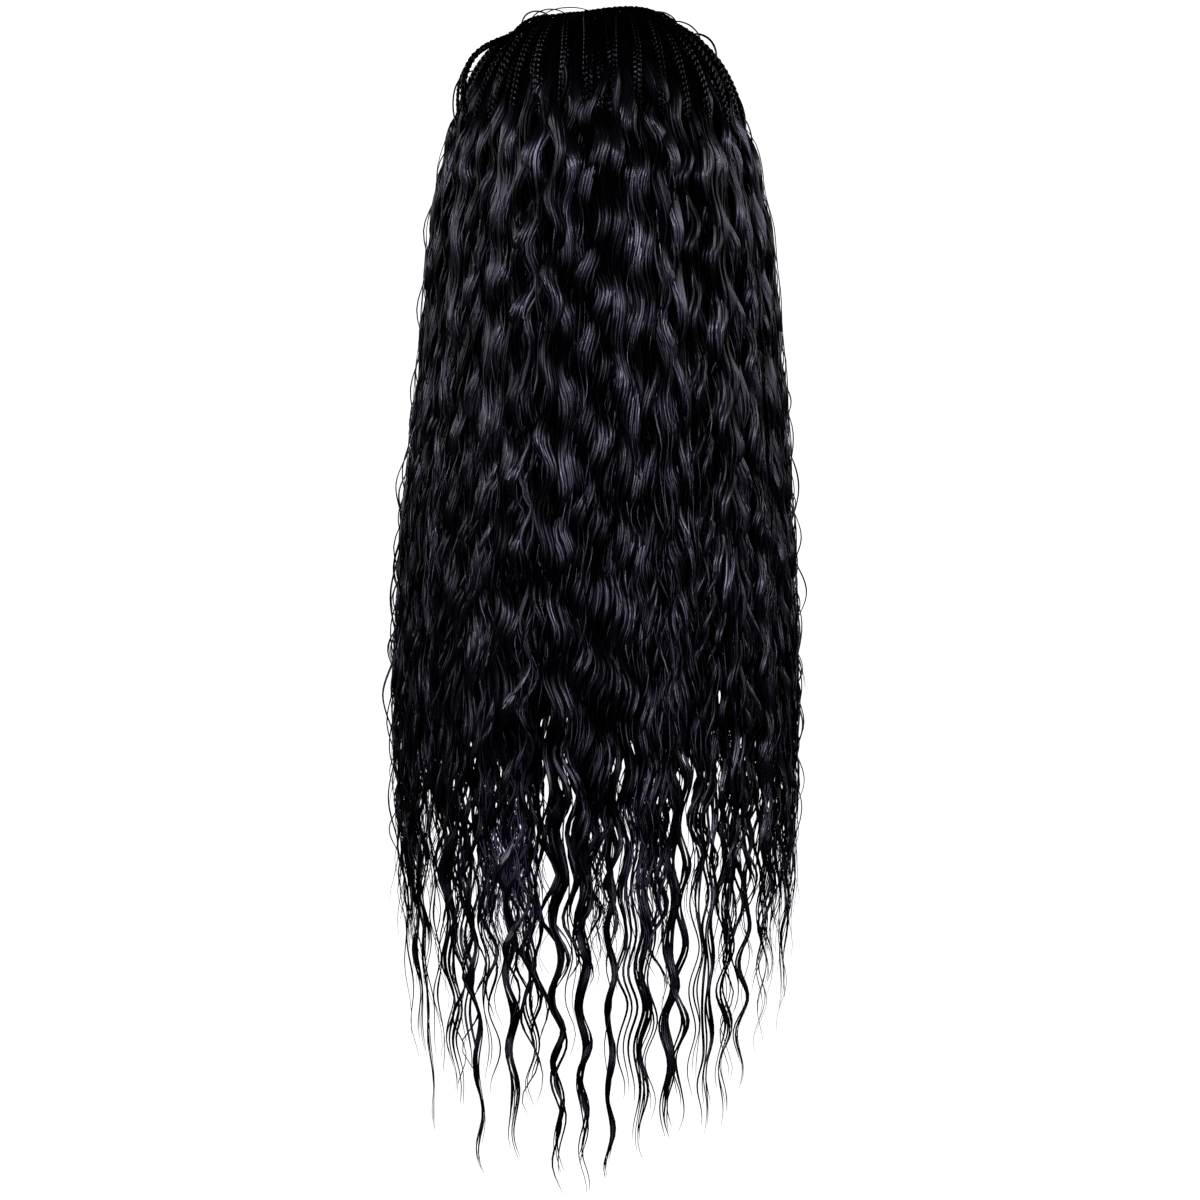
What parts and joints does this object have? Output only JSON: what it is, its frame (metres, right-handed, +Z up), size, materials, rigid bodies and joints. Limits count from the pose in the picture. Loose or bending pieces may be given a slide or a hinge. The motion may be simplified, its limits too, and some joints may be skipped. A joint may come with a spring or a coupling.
{
  "type": "braid wig",
  "caption": "Long near-black wig: a hollow cap under thin braids that fall from a centre parting, then loose waved hair ending in tapered locks.",
  "frame": {"origin": "the crown point inside the cap, where the top of the wearer's head touches", "axes": "+Z up; -Y towards the back of the wig, which the picture shows; +Y towards the wearer's face; +X to the right in the picture"},
  "size_m": [0.2599, 0.226, 0.7646],
  "materials": {
    "cap_lace": "matte knitted net",
    "braided_hair": "satin synthetic hair, plaited",
    "waved_hair": "satin synthetic hair, waved"
  },
  "bodies": {
    "root": {"cap_crown": "cap_lace", "cap_front": "cap_lace", "cap_left": "cap_lace", "cap_right": "cap_lace", "cap_back": "cap_lace", "crown_hair": "waved_hair", "braid_left_1": "braided_hair", "braid_left_2": "braided_hair", "braid_left_3": "braided_hair", "braid_left_4": "braided_hair", "braid_left_5": "braided_hair", "braid_left_6": "braided_hair", "braid_left_7": "braided_hair", "braid_left_8": "braided_hair", "braid_left_9": "braided_hair", "braid_left_10": "braided_hair", "braid_left_11": "braided_hair", "braid_left_12": "braided_hair", "braid_right_1": "braided_hair", "braid_right_2": "braided_hair", "braid_right_3": "braided_hair", "braid_right_4": "braided_hair", "braid_right_5": "braided_hair", "braid_right_6": "braided_hair", "braid_right_7": "braided_hair", "braid_right_8": "braided_hair", "braid_right_9": "braided_hair", "braid_right_10": "braided_hair", "braid_right_11": "braided_hair", "braid_right_12": "braided_hair", "stray_braid_1": "braided_hair", "stray_braid_2": "braided_hair", "waves_left": "waved_hair", "waves_back_left": "waved_hair", "waves_back": "waved_hair", "waves_back_right": "waved_hair", "waves_right": "waved_hair"}
  },
  "joints": []
}
